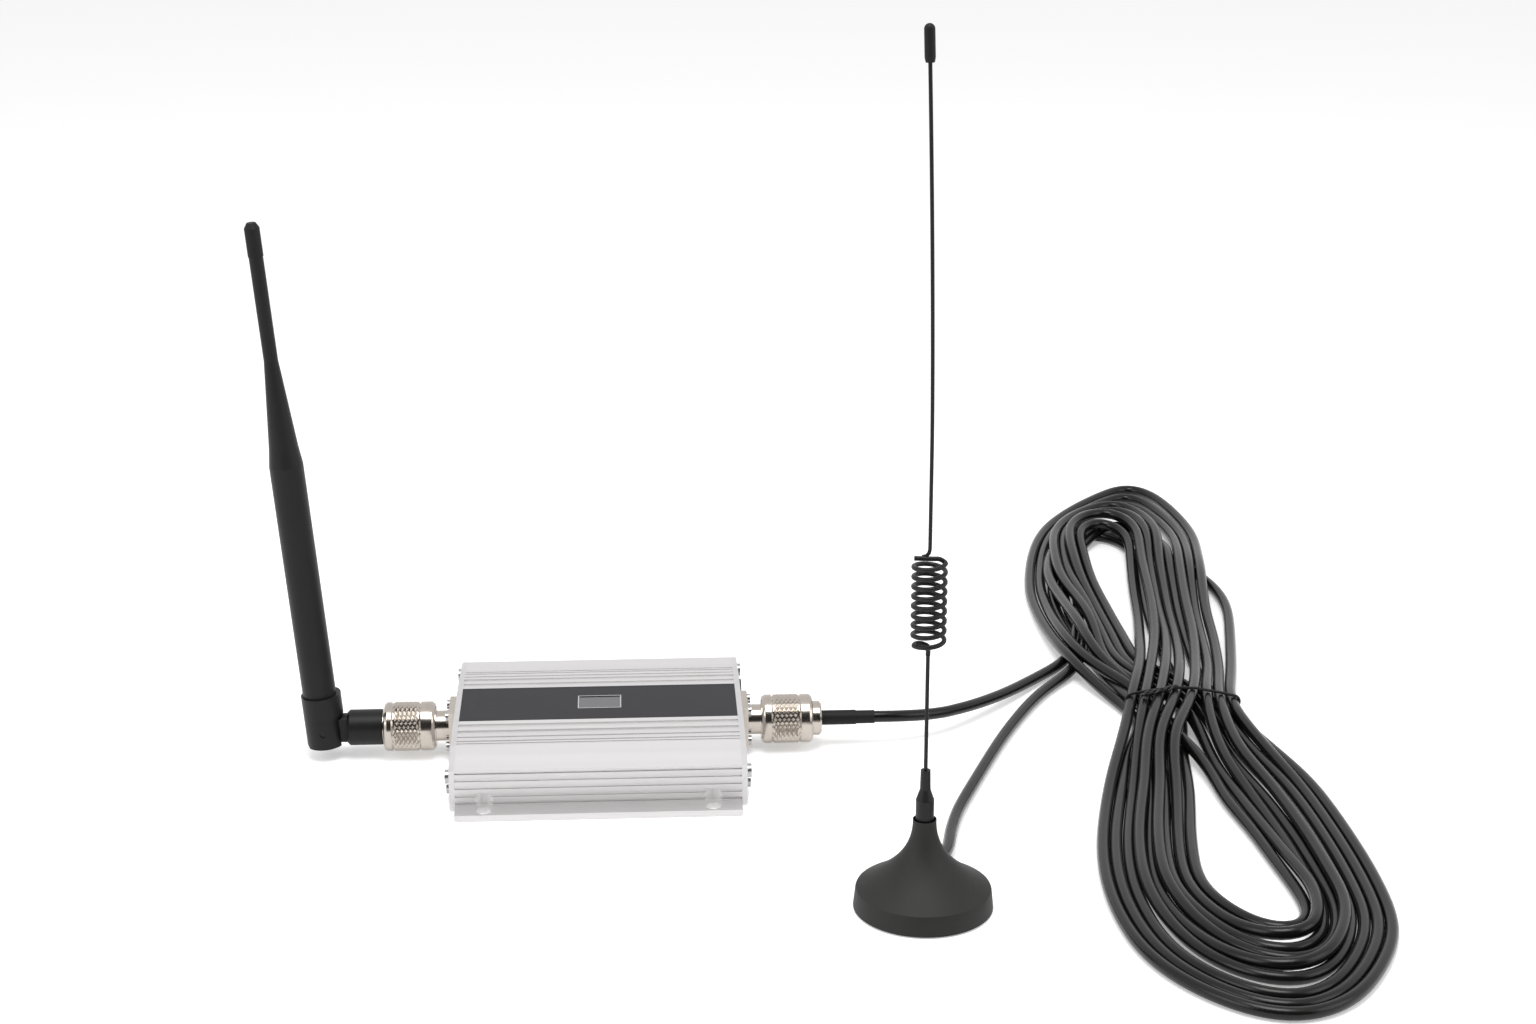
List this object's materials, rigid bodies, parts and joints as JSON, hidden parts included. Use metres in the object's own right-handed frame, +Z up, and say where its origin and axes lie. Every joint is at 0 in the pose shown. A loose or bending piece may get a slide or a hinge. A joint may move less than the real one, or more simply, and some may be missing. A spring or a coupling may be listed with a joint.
{
  "type": "cellular signal booster",
  "caption": "Ribbed aluminium signal booster with a hinged indoor whip antenna and a tied coaxial cable to a magnetic-base outdoor whip antenna.",
  "frame": {"origin": "centre of the booster housing's underside, on the surface it stands on", "axes": "+X along the connectors, from the indoor antenna to the cable; +Z up; +Y away from the outdoor antenna"},
  "size_m": [0.4193, 0.548, 0.3142],
  "materials": {
    "housing_aluminium": "brushed extrusion, clear anodised",
    "end_aluminium": "satin sheet",
    "screw_steel": "bright zinc plate",
    "panel_film": "satin printed film",
    "window_film": "clear over a grey display",
    "display_parts": "moulded",
    "board_green": "solder mask",
    "tinned_steel": "tinned sheet",
    "ceramic": "fired ceramic",
    "chip_black": "moulded epoxy",
    "capacitor_can": "sleeved can",
    "thermal_rubber": "soft pad",
    "inlet_black": "moulded",
    "nickel": "bright nickel plate on brass",
    "ptfe_white": "machined",
    "gold_brass": "gold flash",
    "gasket_red": "silicone",
    "spring_steel": "bright",
    "antenna_black": "satin moulded",
    "cap_rubber": "satin",
    "brass_parts": "turned",
    "shrink_black": "matt heat-shrink",
    "cable_jacket": "semi-gloss jacket",
    "tie_black": "coated wire",
    "foot_black": "fine grained",
    "magnet_grey": "sintered ferrite",
    "whip_black": "black plated"
  },
  "bodies": {
    "booster": {"housing_cover": "housing_aluminium", "housing_base": "housing_aluminium", "end_plate_left": "end_aluminium", "end_plate_right": "end_aluminium", "end_plate_screws": "screw_steel", "display_panel": "panel_film", "display_window": "window_film", "display_module": "display_parts", "circuit_board": "board_green", "board_standoffs": "brass_parts", "board_screws": "screw_steel", "shield_cans": "tinned_steel", "band_filters": "ceramic", "amplifier_chips": "chip_black", "capacitors": "capacitor_can", "thermal_pad": "thermal_rubber", "dc_jack": "inlet_black", "dc_jack_pin": "gold_brass", "dc_jack_nut": "screw_steel", "jack_left": "nickel", "jack_right": "nickel", "jack_insulators": "ptfe_white", "jack_contacts": "gold_brass", "jack_screws": "screw_steel", "indoor_plug_body": "nickel", "indoor_plug_insulator": "ptfe_white", "indoor_plug_pin": "gold_brass", "indoor_gasket": "gasket_red", "indoor_snap_ring": "spring_steel", "cable_plug_body": "nickel", "cable_plug_insulator": "ptfe_white", "cable_plug_pin": "gold_brass", "cable_gasket": "gasket_red", "cable_snap_ring": "spring_steel", "cable_shrink_sleeves": "shrink_black", "cord_lead_plug": "cable_jacket", "cord_lead_base": "cable_jacket", "cord_hank": "cable_jacket", "hank_tie": "tie_black", "foot_housing": "foot_black", "foot_pad": "cap_rubber", "foot_magnet": "magnet_grey", "foot_plate": "tinned_steel", "foot_stud": "brass_parts", "foot_strain_relief": "shrink_black"},
    "indoor_nut": {"indoor_nut": "nickel"},
    "indoor_barrel": {"indoor_barrel": "antenna_black"},
    "indoor_whip": {"indoor_knuckle": "antenna_black", "indoor_hinge_pin": "spring_steel", "indoor_sheath": "antenna_black", "indoor_tip_cap": "cap_rubber", "indoor_radiator": "brass_parts"},
    "cable_nut": {"cable_nut": "nickel"},
    "outdoor_whip": {"whip_ferrule": "whip_black", "whip_wire": "whip_black", "whip_cap": "cap_rubber"}
  },
  "joints": [
    {"name": "indoor_nut_turn", "type": "hinge", "parent": "booster", "child": "indoor_nut", "pos_m": [-0.0754, 0, 0.012], "axis": [1, 0, 0], "continuous": true},
    {"name": "barrel_swivel", "type": "hinge", "parent": "booster", "child": "indoor_barrel", "pos_m": [-0.0932, 0, 0.012], "axis": [1, 0, 0], "range_deg": [-90, 90]},
    {"name": "whip_tilt", "type": "hinge", "parent": "indoor_barrel", "child": "indoor_whip", "pos_m": [-0.1096, 0, 0.012], "axis": [0, 1, 0], "range_deg": [-85.3, 4.7]},
    {"name": "cable_nut_turn", "type": "hinge", "parent": "booster", "child": "cable_nut", "pos_m": [0.0754, 0, 0.012], "axis": [1, 0, 0], "continuous": true},
    {"name": "outdoor_whip_turn", "type": "hinge", "parent": "booster", "child": "outdoor_whip", "pos_m": [0.1157, -0.1436, 0.04], "axis": [0, 0, 1], "continuous": true}
  ]
}
